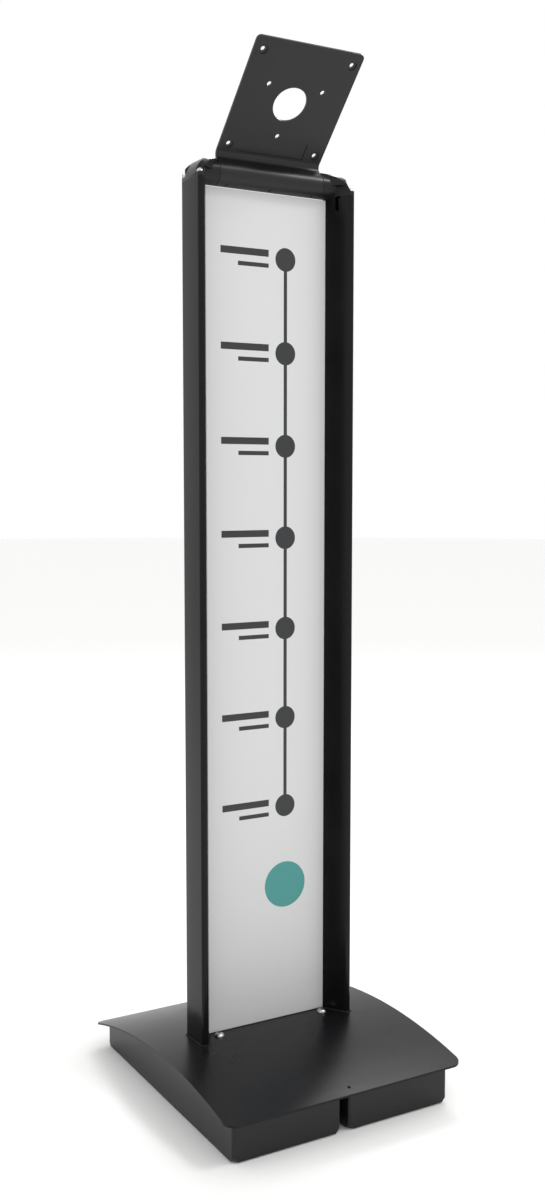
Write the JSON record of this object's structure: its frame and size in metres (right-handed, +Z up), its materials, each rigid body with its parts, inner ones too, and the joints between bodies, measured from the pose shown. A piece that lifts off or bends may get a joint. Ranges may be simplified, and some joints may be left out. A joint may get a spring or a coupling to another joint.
{
  "type": "tilting display floor stand",
  "caption": "Floor stand for a tablet display: heavy split base with an arched lid, two slim posts around a graphic panel, and a tilting square mounting plate.",
  "frame": {"origin": "on the floor under the middle of the base, where the rubber feet stand", "axes": "+Z up, the longest side; the user stands on the -Y side and +X is at the user's right"},
  "size_m": [0.274, 0.324, 1.0559],
  "materials": {
    "base_paint": "satin black powder coat",
    "ballast_steel": "plain mill-finish steel",
    "inner_steel": "matt black powder coat",
    "zinc_steel": "bright zinc plating",
    "stainless": "turned stainless steel",
    "rubber": "matt moulded rubber",
    "post_coating": "satin black powder coat on an aluminium extrusion",
    "head_coating": "satin black powder coat on cast aluminium",
    "panel_board": "foamed PVC board",
    "panel_print": "pale grey printed film with a soft gloss",
    "nylon": "black nylon",
    "black_screw": "black oxide steel",
    "bracket_paint": "fine matt black powder coat"
  },
  "bodies": {
    "stand": {"axle_lock_screws": "black_screw", "ballast_plate_left": "ballast_steel", "ballast_plate_right": "ballast_steel", "base_pillars": "zinc_steel", "base_top_plate": "base_paint", "base_tray_left": "base_paint", "base_tray_right": "base_paint", "cross_plate": "inner_steel", "head_screws": "stainless", "panel_core": "panel_board", "panel_front_print": "panel_print", "panel_rear_print": "panel_print", "panel_seat_strip": "rubber", "pillar_screws_lower": "zinc_steel", "pillar_screws_upper": "zinc_steel", "post_foot_gasket_left": "rubber", "post_foot_gasket_right": "rubber", "post_foot_screws": "zinc_steel", "post_head_left": "head_coating", "post_head_right": "head_coating", "post_left": "post_coating", "post_right": "post_coating", "rubber_feet": "rubber", "thrust_washer_left": "nylon", "thrust_washer_right": "nylon", "tilt_axle": "stainless", "top_plate_screws": "stainless"},
    "tilt_head": {"tilt_bracket": "bracket_paint", "friction_sleeves": "nylon", "sleeve_lock_screws": "black_screw"}
  },
  "joints": [
    {"name": "tilt", "type": "hinge", "parent": "stand", "child": "tilt_head", "pos_m": [0, -0.004, 0.9465], "axis": [1, 0, 0], "range_deg": [-45, 44]}
  ]
}
